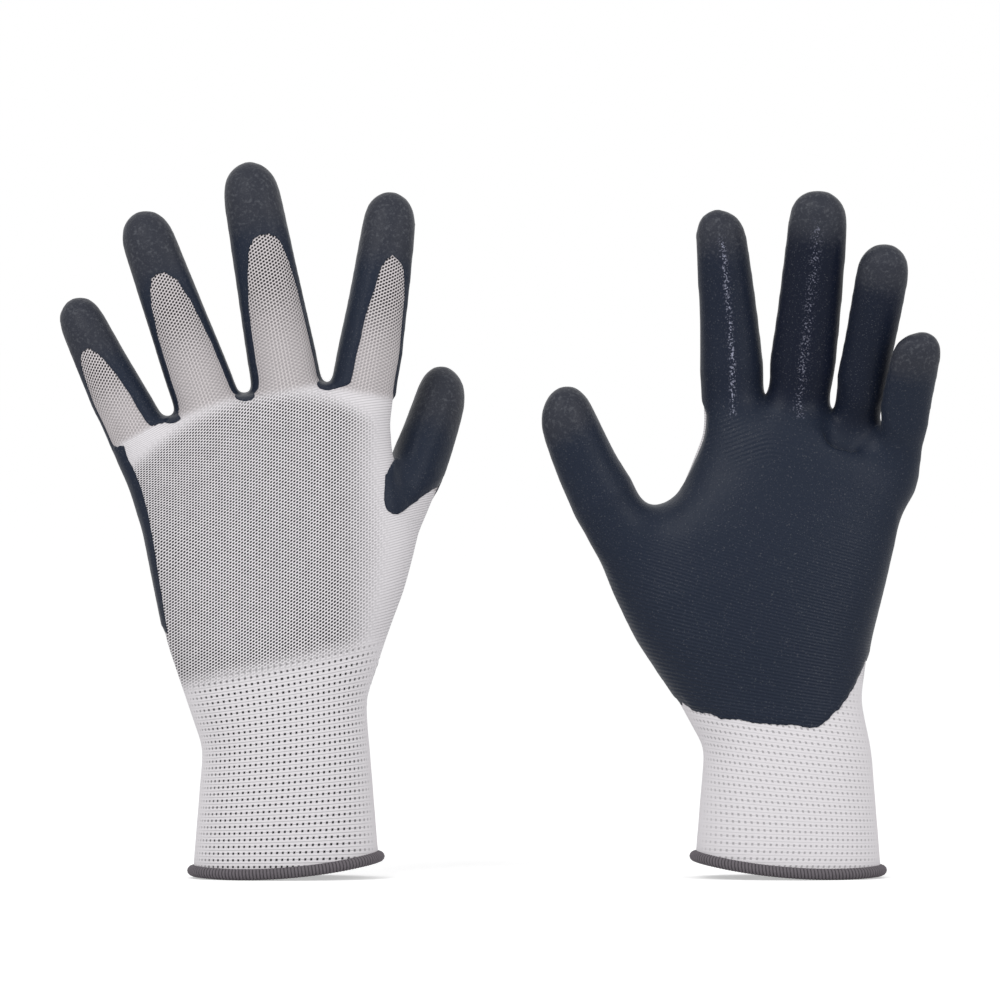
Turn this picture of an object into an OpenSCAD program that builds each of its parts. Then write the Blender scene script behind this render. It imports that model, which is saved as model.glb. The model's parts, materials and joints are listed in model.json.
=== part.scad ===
// A pair of knitted work gloves with dipped palms, standing on their cuffs as if worn.
// Each glove is built in its own frame: X towards the thumb, Y towards the palm side and
// Z from the hem to the fingertips. The second glove is turned half round, so that one
// glove shows its back and the other its palm. Lists of five give the thumb, index,
// middle, ring and little finger, and lists of six go up the palm from above the wrist.

/* [Fabric] */
// Thickness of the knitted liner
liner_wall = 1.2; // [0.8:0.1:1.8]
// Thickness of the dipped coating
coat_wall = 0.6; // [0.4:0.1:1.2]
// Clearance between the liner and the coating that lies on it
coat_seat = 0.3; // [0.25:0.05:0.5]
// Slit between two pieces that swing at a fold
fold_slit = 0.4; // [0.3:0.1:1]

/* [Cuff] */
// Height of the wrist fold above the table
cuff_h = 46; // [38:1:56]
// Width of the cuff just above the hem
hem_w = 67; // [60:1:76]
// Depth of the cuff just above the hem
hem_d = 46; // [40:1:54]
// Width of the cuff at the wrist fold
wrist_w = 60; // [54:1:66]
// Depth of the cuff at the wrist fold
wrist_d = 42; // [36:1:48]
// Height of the overlocked hem
hem_h = 4.6; // [3:0.2:7]
// How far the hem stands out on both sides of the cuff wall
hem_roll = 2.4; // [1:0.1:3]
// Thickness of the elastic thread in the cuff
elastic_t = 0.7; // [0.4:0.1:1.2]
// Turns of the elastic thread in the cuff
elastic_turns = 5; // [3:1:9]

/* [Digits] */
// Length of each digit beyond its base fold
digit_len = [58, 73.5, 83, 75, 54]; // [45:0.5:95]
// Width of each digit over the coating at its base
digit_base_w = [24.5, 25, 26.4, 25, 22.8]; // [18:0.1:30]
// Width of each digit over the coating where its round tip starts
digit_tip_w = [20.5, 19.6, 21, 19.6, 17]; // [14:0.1:24]
// Thickness of a digit for each millimetre of its width
digit_flatness = 0.86; // [0.75:0.01:1]
// Height of each middle fold above the base fold
digit_fold = [28, 34, 37, 34, 25]; // [20:1:42]
// Height above the base fold where the bare knit on a digit's back ends, 0 for none
window_top = [0, 48, 54, 50, 34]; // [0:1:60]
// Half width of the bare knit on a digit's back, in degrees round the digit
window_angle = 62; // [45:1:75]
// How far a relaxed fingertip bends to the palm side
relax = 5; // [0:0.5:8]

/* [Palm] */
// Depth of the palm, from back to palm side
palm_depth = [43, 44, 41, 37, 31, 25.6]; // [20:0.2:50]
// Shift of the palm's middle towards the palm side
palm_shift = [0, 1, 2, 2, 1, 0]; // [-3:0.5:5]
// How far the coating reaches round to the back on the little finger's side
coat_wrap = 7; // [0:0.5:12]

/* [Place] */
// Sideways place of each glove on the table
glove_x = [-77.9, 102.6]; // [-130:0.1:130]
// Place of each glove towards the back of the table
glove_y = [-2.9, 0]; // [-40:0.1:40]

/* [First glove] */
// Reach of the palm from the middle of the wrist to its edge on the little finger's side
first_little_edge = [36.9, 44, 48.6, 52.6, 58, 62]; // [25:0.1:75]
// Height of that edge above the wrist fold
first_little_edge_z = [18, 39, 61, 81, 96, 105]; // [10:1:125]
// Reach of the palm from the middle of the wrist to its edge on the thumb's side
first_thumb_edge = [29.7, 36.5, 44.5, 48.5, 41, 38.5]; // [25:0.1:75]
// Height of that edge above the wrist fold
first_thumb_edge_z = [18, 39, 61, 76, 96, 119]; // [10:1:130]
// Rise of the palm's middle above the line between its two edges
first_arch = [0, 0, 0, 2, 9, 16.5]; // [0:0.5:25]
// Share of its full width that each digit is filled to at its base
first_base_fill = [1, 1, 1, 1, 1]; // [0.65:0.01:1.1]
// Share of its full width that each digit is filled to at its tip
first_tip_fill = [1, 1, 1, 1, 1]; // [0.75:0.01:1.05]
// Sideways place of the base folds of the thumb and the middle finger
first_root_x = [40.6, 0.4]; // [-10:0.1:65]
// Room between the bases of index and middle, middle and ring, ring and little finger
first_web = [1.5, 2.7, 2.1]; // [-1:0.1:6]
// Place of each base fold towards the palm side
first_base_y = [8, 0, 0, 0, 0]; // [-10:0.5:15]
// Height of each base fold above the wrist fold
first_base_z = [87, 129, 130.5, 124, 115]; // [70:0.5:145]
// Sideways lean of each digit, towards the thumb
first_lean = [26, 10.5, -10.5, -20, -28]; // [-40:0.5:45]
// Lean of each digit towards the palm side
first_pitch = [23, 2, 0, 1, 3]; // [-10:0.5:35]
// Turn of each digit about its length
first_roll = [48, 0, 0, 0, 0]; // [-60:1:60]
// Sideways sweep of each tip away from its base line
first_sweep = [-3.5, -2.5, 0, 0, 1.5]; // [-10:0.5:10]

/* [Second glove] */
// Reach of the palm from the middle of the wrist to its edge on the little finger's side
second_little_edge = [27.4, 30.2, 35.7, 40, 45.4, 48.5]; // [20:0.1:75]
// Height of that edge above the wrist fold
second_little_edge_z = [18, 39, 61, 80, 94, 101]; // [10:1:125]
// Reach of the palm from the middle of the wrist to its edge on the thumb's side
second_thumb_edge = [40.5, 54.5, 64.8, 67.5, 40, 33]; // [25:0.1:80]
// Height of that edge above the wrist fold
second_thumb_edge_z = [18, 39, 59, 70, 92, 112]; // [10:1:130]
// Rise of the palm's middle above the line between its two edges
second_arch = [0, 0, 0, 3, 10, 18]; // [0:0.5:25]
// Share of its full width that each digit is filled to at its base
second_base_fill = [1.08, 0.93, 0.88, 0.7, 0.73]; // [0.65:0.01:1.1]
// Share of its full width that each digit is filled to at its tip
second_tip_fill = [1.05, 0.88, 0.94, 0.97, 0.91]; // [0.75:0.01:1.05]
// Sideways place of the base folds of the thumb and the middle finger
second_root_x = [59.1, -3.9]; // [-10:0.1:65]
// Room between the bases of index and middle, middle and ring, ring and little finger
second_web = [0.6, -0.2, -1.2]; // [-2:0.1:6]
// Place of each base fold towards the palm side
second_base_y = [6, 0, 0, 0, 3]; // [-10:0.5:15]
// Height of each base fold above the wrist fold
second_base_z = [78, 122, 123, 114, 104]; // [70:0.5:145]
// Sideways lean of each digit, towards the thumb
second_lean = [33, 2.5, -8.5, -9.5, -9.5]; // [-40:0.5:45]
// Lean of each digit towards the palm side
second_pitch = [6, 2, 15, 19, 23]; // [-10:0.5:35]
// Turn of each digit about its length
second_roll = [22, 0, 0, 0, 0]; // [-60:1:60]
// Sideways sweep of each tip away from its base line
second_sweep = [-7, 3, 3.5, 0, -1]; // [-10:0.5:10]

/* [Hidden] */
DIGITS = ["thumb", "index", "middle", "ring", "little"];
GLOVES = ["glove_1", "glove_2"];
CUFF_AND_PALM = ["hem", "cuff", "elastic_thread", "palm_liner", "palm_coating"];
LAYERS = ["base_liner", "base_coating", "tip_liner", "tip_coating"];
function name(g, part) = str(GLOVES[g], "_", part);
function digit_name(g, i, layer) = name(g, str(DIGITS[i], "_", layer));

knit_colour = "gainsboro";
coat_colour = "darkslategray";
hem_colour = "dimgray";

// Values of both gloves, by glove and digit or palm station
little_edge = [-first_little_edge, -second_little_edge];
little_edge_z = [first_little_edge_z, second_little_edge_z];
thumb_edge = [first_thumb_edge, second_thumb_edge];
thumb_edge_z = [first_thumb_edge_z, second_thumb_edge_z];
arch = [first_arch, second_arch];
base_fill = [first_base_fill, second_base_fill];
tip_fill = [first_tip_fill, second_tip_fill];
root_x = [first_root_x, second_root_x];
web = [first_web, second_web];
base_y = [first_base_y, second_base_y];
base_z = [first_base_z, second_base_z];
lean = [first_lean, second_lean];
pitch = [first_pitch, second_pitch];
roll = [first_roll, second_roll];
sweep = [first_sweep, second_sweep];

// Lower rim of the coating on each palm, as [across, up from the wrist fold]
coat_rim = [
    [[-60, 42], [-38, 30], [-22, 16], [-4, 11], [16, 12], [60, 14]],
    [[-60, 46], [-28, 32], [-19, 16], [-4, 11], [16, 12], [70, 16]]
];

coat_build = coat_seat + coat_wall; // from the liner's face to the coating's face
round_rate = 1.1;                   // length of a round tip for each unit of its half width
root_depth = [24, 28, 28, 24, 14];  // how far each digit's root runs down into the palm
swing_room = 28;                    // room kept clear in front of a digit's base fold
wrap_w = 60;                        // half width over which the coating wraps to the back
sides = 16;                         // facets round a digit
palm_sides = 28;                    // facets round a palm, cuff or hem
thread_sides = 16;                  // facets in a turn of the elastic thread
thread_margin = 3;                  // bare cuff left above and below the elastic thread
thread_seat = 0.3;                  // clearance between the thread and the cuff wall
palm_power = 2.4;                   // above 2, the palm's section is fuller than an oval
dome_steps = [26, 52, 75];          // degrees up a round tip
over = 1;                           // overshoot of a cut
far = 200;                          // beyond the whole glove

function mix(a, b, t) = a + (b - a) * t;
function even(from, to, n) = [for (k = [0:n]) mix(from, to, k / n)];
function sign_pow(x, p) = sign(x) * pow(abs(x), p);
function flat(rings) = [for (r = rings) each r];
function turn_angles(n) = [for (k = [0:n - 1]) 360 * k / n];
round_angles = turn_angles(sides);

// Sideways place of a digit's base: each finger stands beside its neighbour
function base_x(g, i) =
    i == 0 ? root_x[g][0] :
    i == 1 ? base_x(g, 2) + base_half(g, 1) + base_half(g, 2) + web[g][0] :
    i == 2 ? root_x[g][1] :
    base_x(g, i - 1) - base_half(g, i - 1) - base_half(g, i) - web[g][i - 2];

// Half width and half thickness over the coating of digit i of glove g, s above its base
function base_half(g, i) = base_fill[g][i] * digit_base_w[i] / 2;
function tip_half(g, i) = tip_fill[g][i] * digit_tip_w[i] / 2;
function straight(g, i) = digit_len[i] - round_rate * tip_half(g, i);
function half_w(g, i, s) =
    mix(base_half(g, i), tip_half(g, i), min(1, max(0, s / straight(g, i))));
function half_t(g, i, s) = digit_flatness * half_w(g, i, s);
function centre_x(g, i, s) = sweep[g][i] * pow(max(0, s) / digit_len[i], 2);
function centre_y(i, s) = relax * pow(max(0, s) / digit_len[i], 2);

// One ring of a digit, grown by d from the coating's face and spread over the angles
function ring(g, i, s, d, angles) = [for (t = angles)
    [centre_x(g, i, s) + (half_w(g, i, s) + d) * cos(t),
     centre_y(i, s) + (half_t(g, i, s) + d) * sin(t), s]];
// One ring of a digit's round tip, up degrees above where the tip starts to close
function dome_ring(g, i, d, up, angles) =
    let (s = straight(g, i) + (round_rate * tip_half(g, i) + d) * sin(up))
    [for (t = angles)
        [centre_x(g, i, s) + (tip_half(g, i) + d) * cos(up) * cos(t),
         centre_y(i, s) + (digit_flatness * tip_half(g, i) + d) * cos(up) * sin(t), s]];
function apex(g, i, d) =
    let (s = digit_len[i] + d) [centre_x(g, i, s), centre_y(i, s), s];
function tip_rings(g, i, d, from) = concat(
    [for (s = even(from, straight(g, i), 2)) ring(g, i, s, d, round_angles)],
    [for (up = dome_steps) dome_ring(g, i, d, up, round_angles)]);

// Half angle of the coating about the palm side of a digit at height s
function coat_half(i, s) = s >= window_top[i] ? 180
    : 180 - window_angle * sqrt(1 - pow(max(0, s) / window_top[i], 2));
function coat_angles(i, s) = [for (share = even(-1, 1, sides)) 90 + coat_half(i, s) * share];
// Height at which the bare knit's half width is an angle
function window_s(i, angle) = window_top[i] * sqrt(1 - pow(angle / window_angle, 2));

// Faces between stacked rings of n points, turned outwards or inwards
function side_faces(count, n, first = 0, inward = false) =
    [for (k = [0:count - 2], j = [0:n - 1])
        let (a = first + k * n + j, b = first + k * n + (j + 1) % n, c = b + n, e = a + n)
        each inward ? [[a, b, c], [a, c, e]] : [[a, e, c], [a, c, b]]];
// Faces that join the outer and the inner ring at an end
function end_faces(outer, inner, n, upper) = [for (j = [0:n - 1])
    let (a = outer + j, b = outer + (j + 1) % n, c = inner + (j + 1) % n, e = inner + j)
    each upper ? [[a, c, b], [a, e, c]] : [[a, b, c], [a, c, e]]];
// Faces from a ring to a point above it, or below it when turned inwards
function cap_faces(first, n, tip, inward = false) = [for (j = [0:n - 1])
    let (a = first + j, b = first + (j + 1) % n) inward ? [a, b, tip] : [a, tip, b]];

// A wall between two stacks of rings, open at both ends
module sleeve(outer, inner) {
    n = len(outer[0]);
    count = len(outer);
    polyhedron(concat(flat(outer), flat(inner)), concat(
        side_faces(count, n),
        side_faces(count, n, count * n, true),
        end_faces(0, count * n, n, false),
        end_faces((count - 1) * n, (2 * count - 1) * n, n, true)));
}

// A wall between two stacks of rings, closed at the top by a point on each
module thimble(outer, inner, outer_tip, inner_tip) {
    n = len(outer[0]);
    count = len(outer);
    tip = 2 * count * n;
    polyhedron(concat(flat(outer), flat(inner), [outer_tip, inner_tip]), concat(
        side_faces(count, n),
        side_faces(count, n, count * n, true),
        end_faces(0, count * n, n, false),
        cap_faces((count - 1) * n, n, tip),
        cap_faces((2 * count - 1) * n, n, tip + 1, true)));
}

// A wall between two stacks of part rings. A ring that is closed shares its first point
// with its last, and two tip points close the top where they are given.
module patch(outer, inner, closed, tips = []) {
    m = len(outer[0]) - 1;
    top = len(outer) - 1;
    half = len(outer) * (m + 1);
    function at(k, j) = k * (m + 1) + (closed[k] && j == m ? 0 : j);
    function both(f) = [f, [half + f[0], half + f[2], half + f[1]]];
    polyhedron(concat(flat(outer), flat(inner), tips), concat(
        [for (k = [0:top - 1], j = [0:m - 1])
            let (a = at(k, j), b = at(k, j + 1), c = at(k + 1, j + 1), e = at(k + 1, j))
            each j < m / 2 ? concat(both([a, e, c]), both([a, c, b]))
                : concat(both([a, e, b]), both([b, e, c]))],
        [for (k = [0:top - 1]) if (!(closed[k] && closed[k + 1]))
            let (a = at(k, 0), e = at(k + 1, 0), b = at(k, m), c = at(k + 1, m))
            each [[half + a, half + e, e], [half + a, e, a], [b, c, half + c], [b, half + c, half + b]]],
        [for (j = [0:m - 1]) let (a = at(0, j), b = at(0, j + 1))
            each [[a, b, half + b], [a, half + b, half + a]]],
        [for (j = [0:m - 1]) let (a = at(top, j), b = at(top, j + 1))
            each len(tips) == 0 ? [[a, half + b, b], [a, half + a, half + b]]
                : [[a, 2 * half, b], [half + a, half + b, 2 * half + 1]]]));
}

// Places: a glove on the table, its palm on the wrist fold, a digit on its palm
module in_glove(g) {
    translate([glove_x[g], glove_y[g], 0]) rotate([0, 0, 180 * g]) children();
}
module on_wrist(g) {
    in_glove(g) translate([0, 0, cuff_h]) children();
}
module on_digit(g, i) {
    translate([base_x(g, i), base_y[g][i], base_z[g][i]]) rotate([0, lean[g][i], 0])
        rotate([-pitch[g][i], 0, 0]) rotate([0, 0, roll[g][i]]) children();
}

// The knitted sleeve of a digit between its two folds
module digit_base_liner(g, i) {
    heights = even(fold_slit / 2, digit_fold[i] - fold_slit / 2, 2);
    color(knit_colour) on_wrist(g) on_digit(g, i)
        sleeve([for (s = heights) ring(g, i, s, -coat_build, round_angles)],
            [for (s = heights) ring(g, i, s, -coat_build - liner_wall, round_angles)]);
}

// The knitted tip of a digit above its middle fold
module digit_tip_liner(g, i) {
    from = digit_fold[i] + fold_slit / 2;
    color(knit_colour) on_wrist(g) on_digit(g, i)
        thimble(tip_rings(g, i, -coat_build, from), tip_rings(g, i, -coat_build - liner_wall, from),
            apex(g, i, -coat_build), apex(g, i, -coat_build - liner_wall));
}

// The coating round the palm side of a digit between its two folds
module digit_base_coating(g, i) {
    heights = even(fold_slit / 2, digit_fold[i] - fold_slit / 2, 2);
    color(coat_colour) on_wrist(g) on_digit(g, i)
        patch([for (s = heights) ring(g, i, s, 0, coat_angles(i, s))],
            [for (s = heights) ring(g, i, s, -coat_wall, coat_angles(i, s))],
            [for (s = heights) coat_half(i, s) >= 180]);
}

// The coating over a digit's tip, which closes round the bare knit on its back
module digit_tip_coating(g, i) {
    from = digit_fold[i] + fold_slit / 2;
    bare = 180 - coat_half(i, from);
    heights = bare <= 0 ? even(from, straight(g, i), 2)
        : concat([for (part = even(bare, 0, 4)) window_s(i, part)], [straight(g, i)]);
    function faces_at(d) = concat(
        [for (s = heights) ring(g, i, s, d, coat_angles(i, s))],
        [for (up = dome_steps) dome_ring(g, i, d, up, coat_angles(i, far))]);
    closed = concat([for (s = heights) coat_half(i, s) >= 180], [for (up = dome_steps) true]);
    color(coat_colour) on_wrist(g) on_digit(g, i)
        patch(faces_at(0), faces_at(-coat_wall), closed, [apex(g, i, 0), apex(g, i, -coat_wall)]);
}

// One ring of the palm between two edge points, grown by d from the coating's face
function palm_ring(little, thumb, half_depth, shift, rise, d) =
    let (span = thumb - little, reach = norm(span) / 2 + d, along = span / norm(span),
        middle = (little + thumb) / 2)
    [for (t = turn_angles(palm_sides))
        let (across = sign_pow(cos(t), 2 / palm_power), deep = sign_pow(sin(t), 2 / palm_power))
        [middle.x + along.x * reach * across,
         shift + (half_depth + d) * deep,
         middle.y + along.y * reach * across + rise * (1 - pow(across, 2))]];
// The wrist carries no coating, so its ring grows from the liner's face
function wrist_ring(d, drop) = let (z = fold_slit / 2 - drop)
    palm_ring([-wrist_w / 2, z], [wrist_w / 2, z], wrist_d / 2, 0, 0, d + coat_build);

// The palm from the wrist to the webs between the fingers
module palm_loft(g, d, drop = 0) {
    top = len(palm_depth) - 1;
    rings = concat([wrist_ring(d, drop)], [for (k = [0:top]) let (lift = k == top ? d : 0)
        palm_ring([little_edge[g][k], little_edge_z[g][k] + lift],
            [thumb_edge[g][k], thumb_edge_z[g][k] + lift],
            palm_depth[k] / 2, palm_shift[k], arch[g][k], d)]);
    crown = [(little_edge[g][top] + thumb_edge[g][top]) / 2, palm_shift[top],
        (little_edge_z[g][top] + thumb_edge_z[g][top]) / 2 + arch[g][top] + d];
    foot = [0, 0, fold_slit / 2 - drop];
    n = palm_sides;
    last = len(rings) * n;
    polyhedron(concat(flat(rings), [crown, foot]), concat(side_faces(len(rings), n),
        cap_faces(last - n, n, last), cap_faces(0, n, last + 1, true)));
}
// The root of a digit inside the palm, running on past its base fold
module digit_root(g, i, d) {
    on_digit(g, i) translate([0, 0, -root_depth[i]]) linear_extrude(root_depth[i] + over)
        polygon([for (p = ring(g, i, 0, d, round_angles)) [p.x, p.y]]);
}
module palm_body(g, d) {
    palm_loft(g, d);
    for (i = [0:4]) digit_root(g, i, d);
}
module palm_cavity(g) {
    palm_loft(g, -coat_build - liner_wall, over);
    for (i = [0:4]) digit_root(g, i, -coat_build - liner_wall);
}
// Keeps the palm off each digit and off the way that it swings
module fold_clearance(g) {
    for (i = [0:4]) on_digit(g, i) translate([0, 0, -fold_slit / 2]) linear_extrude(swing_room)
        let (reach = base_half(g, i) + coat_seat)
        polygon(concat([for (p = ring(g, i, 0, coat_seat, round_angles)) if (p.y < 0) [p.x, p.y]],
            [[reach, 0], [reach, swing_room], [-reach, swing_room], [-reach, 0]]));
}
// The part of the palm that was dipped: its palm side, down to the rim
module dipped_region(g) {
    intersection() {
        rotate([90, 0, 0]) translate([0, 0, -far]) linear_extrude(2 * far)
            polygon(concat(coat_rim[g], [[far, far], [-far, far]]));
        rotate([0, 0, atan2(coat_wrap, wrap_w)]) translate([-far, 0, 0]) cube([2 * far, far, 2 * far]);
    }
}

// The knitted palm and back, with a root for each digit
module palm_liner(g) {
    color(knit_colour) on_wrist(g) difference() {
        palm_body(g, -coat_build);
        palm_cavity(g);
        fold_clearance(g);
    }
}

// The coating on the palm side
module palm_coating(g) {
    color(coat_colour) on_wrist(g) difference() {
        intersection() {
            palm_body(g, 0);
            dipped_region(g);
        }
        palm_body(g, -coat_wall);
        fold_clearance(g);
    }
}

// One ring of the cuff at height z, grown by d from its face and spread over the angles
function cuff_ring(z, d, angles) = let (t = (z - hem_h) / (cuff_h - hem_h))
    [for (a = angles)
        [(mix(hem_w, wrist_w, t) / 2 + d) * sign_pow(cos(a), 2 / palm_power),
         (mix(hem_d, wrist_d, t) / 2 + d) * sign_pow(sin(a), 2 / palm_power), z]];

// The ribbed cuff, which sits on the hem
module cuff(g) {
    heights = even(hem_h, cuff_h - fold_slit / 2, 2);
    function wall_at(d) = [for (z = heights) cuff_ring(z, d, turn_angles(palm_sides))];
    color(knit_colour) in_glove(g) sleeve(wall_at(0), wall_at(-liner_wall));
}

// The hem is a roll round the cuff's lower edge, flat where it stands and where it is seated
module hem(g) {
    inner = -liner_wall - hem_roll;
    belly = hem_h * 0.35;
    shoulder = hem_h * 0.75;
    section = [[inner / 2, 0], [hem_roll * 0.7, 0], [hem_roll, belly], [hem_roll * 0.8, shoulder],
        [0, hem_h], [-liner_wall, hem_h], [inner * 0.9, shoulder], [inner, belly]];
    n = len(section);
    rings = [for (a = turn_angles(palm_sides)) [for (p = section)
        let (r = cuff_ring(hem_h, p.x, [a])[0]) [r.x, r.y, p.y]]];
    color(hem_colour) in_glove(g) polyhedron(flat(rings), [for (k = [0:palm_sides - 1], j = [0:n - 1])
        let (next = (k + 1) % palm_sides, a = k * n + j, b = k * n + (j + 1) % n,
            c = next * n + (j + 1) % n, e = next * n + j)
        each [[a, b, c], [a, c, e]]]);
}

// One elastic thread laid in turns against the inside of the cuff
module elastic_thread(g) {
    from = hem_h + thread_margin;
    rise = (cuff_h - thread_margin - elastic_t - from) / elastic_turns / thread_sides;
    section = [[0, 0], [-elastic_t, 0], [-elastic_t, elastic_t], [0, elastic_t]];
    n = len(section);
    seat = -liner_wall - thread_seat - hem_w / 2 * (1 - cos(180 / palm_sides));
    rings = [for (q = [0:thread_sides * elastic_turns]) let (z = from + rise * q)
        [for (p = section) cuff_ring(z + p.y, seat + p.x, [360 * q / thread_sides])[0]]];
    last = (len(rings) - 1) * n;
    color(knit_colour) in_glove(g) polyhedron(flat(rings), concat(side_faces(len(rings), n),
        [[0, 1, 2], [0, 2, 3], [last, last + 2, last + 1], [last, last + 3, last + 2]]));
}

for (g = [0, 1]) {
    hem(g);
    cuff(g);
    elastic_thread(g);
    palm_liner(g);
    palm_coating(g);
    for (i = [0:4]) {
        digit_base_liner(g, i);
        digit_base_coating(g, i);
        digit_tip_liner(g, i);
        digit_tip_coating(g, i);
    }
}
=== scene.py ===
"""Dresses a packed pair of work gloves: knitted liners, dipped coatings, hems and elastic threads."""

import json
import math
from functools import lru_cache

import bmesh
import bpy
import numpy as np
from bpy.props import FloatProperty, FloatVectorProperty, IntProperty, PointerProperty
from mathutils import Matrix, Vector


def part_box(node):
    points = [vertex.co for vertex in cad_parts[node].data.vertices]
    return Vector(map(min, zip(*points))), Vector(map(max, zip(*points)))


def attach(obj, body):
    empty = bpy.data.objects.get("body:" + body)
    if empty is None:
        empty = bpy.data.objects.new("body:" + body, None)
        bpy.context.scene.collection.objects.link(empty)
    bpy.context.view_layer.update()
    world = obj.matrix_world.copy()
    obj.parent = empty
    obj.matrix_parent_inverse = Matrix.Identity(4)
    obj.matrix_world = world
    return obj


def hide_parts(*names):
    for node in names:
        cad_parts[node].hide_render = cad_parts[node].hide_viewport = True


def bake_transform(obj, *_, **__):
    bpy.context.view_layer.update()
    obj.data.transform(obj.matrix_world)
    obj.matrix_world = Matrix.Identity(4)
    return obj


bl_info = {
    "name": "Work gloves",
    "version": (1, 0, 0),
    "blender": (4, 5, 0),
    "location": "3D View > Sidebar > Gloves",
    "description": "Builds a pair of knitted work gloves with dipped palms around the packed frame",
    "category": "Object",
}

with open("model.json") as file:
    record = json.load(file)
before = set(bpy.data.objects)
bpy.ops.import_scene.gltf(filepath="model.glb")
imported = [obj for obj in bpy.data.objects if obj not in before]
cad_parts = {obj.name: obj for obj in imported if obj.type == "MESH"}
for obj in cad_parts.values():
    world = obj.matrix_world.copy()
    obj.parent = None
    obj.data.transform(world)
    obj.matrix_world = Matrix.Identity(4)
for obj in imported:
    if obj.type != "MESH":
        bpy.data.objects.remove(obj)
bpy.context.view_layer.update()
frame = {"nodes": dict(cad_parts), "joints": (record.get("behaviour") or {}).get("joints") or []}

MM = 1000.0
GLOVES = ("glove_1", "glove_2")
DIGITS = ("thumb", "index", "middle", "ring", "little")
JOINTS = {joint["name"]: joint for joint in frame["joints"]}

# The hem's line across the hand: how fast it rises, where it lies lowest and how far out it rises
HEM_RISE, HEM_LOW, HEM_OUT = 2.6, -0.5, 1.1
# Heights above the hem's lower edge where the knit ends inside the hem, and where the hem follows the knit
MOUTH, HEM_LINE = 2.5, 3.5
# How far below the index finger's base the web to the thumb starts, for a glove that has such a web
THUMB_WEB = {"glove_2": 30}
# How much wider than its solid a digit's sleeve is, on the thumb's side and on the little finger's side
LOOSE = {
    "glove_2_index": (0, 1.6),
    "glove_2_middle": (2.0, 0),
    "glove_2_ring": (0.5, 0),
    "glove_2_little": (3.2, 0),
}
# How far the wider side towards the thumb stands out to the palm side
FORWARD = {"glove_2_little": 4.5}
# How far the lower part of a digit leans to the thumb's side, and the height where it is straight again
LEAN = {"glove_2_ring": (0.9, 38.0)}
# Heights on a digit: the wider sleeve's foot, where it stands out and leans fully, and its full width
SLEEVE_FOOT, FORWARD_FROM, LEAN_FROM = -2, 8, 10
LOOSE_FROM = {"glove_2_little": 19}
USUAL_FROM = 20
# Run over which the lean fades
LEAN_FADE = 14
# Pockets at the roots of fingers: reach to the thumb's side, height, half width and depth
POCKETS = {"glove_2": ((-7.0, 168.0, 8.0, 3.2), (-24.0, 157.0, 6.5, 2.6))}
# Run of a pocket's slope above and below its middle
POCKET_RISE, POCKET_FALL = 8.0, 3.2
# Half width and half height of the area that is smoothed round a pocket, and how often
POCKET_WIDE, POCKET_HIGH, POCKET_TURNS = 14, 11, 60


# Small tools for arrays of points, in millimetres

def unit(vector):
    vector = np.asarray(vector, float)
    return vector / np.linalg.norm(vector)


def smoothstep(low, high, value):
    share = np.clip((value - low) / (high - low), 0, 1)
    return share * share * (3 - 2 * share)


def mix(first, second, share):
    return first + (second - first) * share


def waves(points, length, seed):
    """A smooth random field from -1 to 1 or so, with waves of about one length."""
    count = 7
    draw = np.random.default_rng(seed)
    total = np.zeros(len(points))
    for _ in range(count):
        heading = unit(draw.normal(size=3))
        pitch = length * draw.uniform(0.7, 1.4)
        total += np.sin(points @ heading * 2 * math.pi / pitch + draw.uniform(0, 2 * math.pi))
    return total / math.sqrt(count)


def rows_of(items, title, kind=float, width=3):
    """One column of a mesh's points, edges or triangles, as rows of numbers."""
    values = np.zeros(len(items) * width, kind)
    items.foreach_get(title, values)
    return values.reshape(-1, width)


def node_points(node):
    return rows_of(frame["nodes"][node].data.vertices, "co") * MM


def add_object(name, data):
    made = bpy.data.objects.new(name, data)
    bpy.context.scene.collection.objects.link(made)
    return made


# The hand's directions and sections, read from the frame

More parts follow.
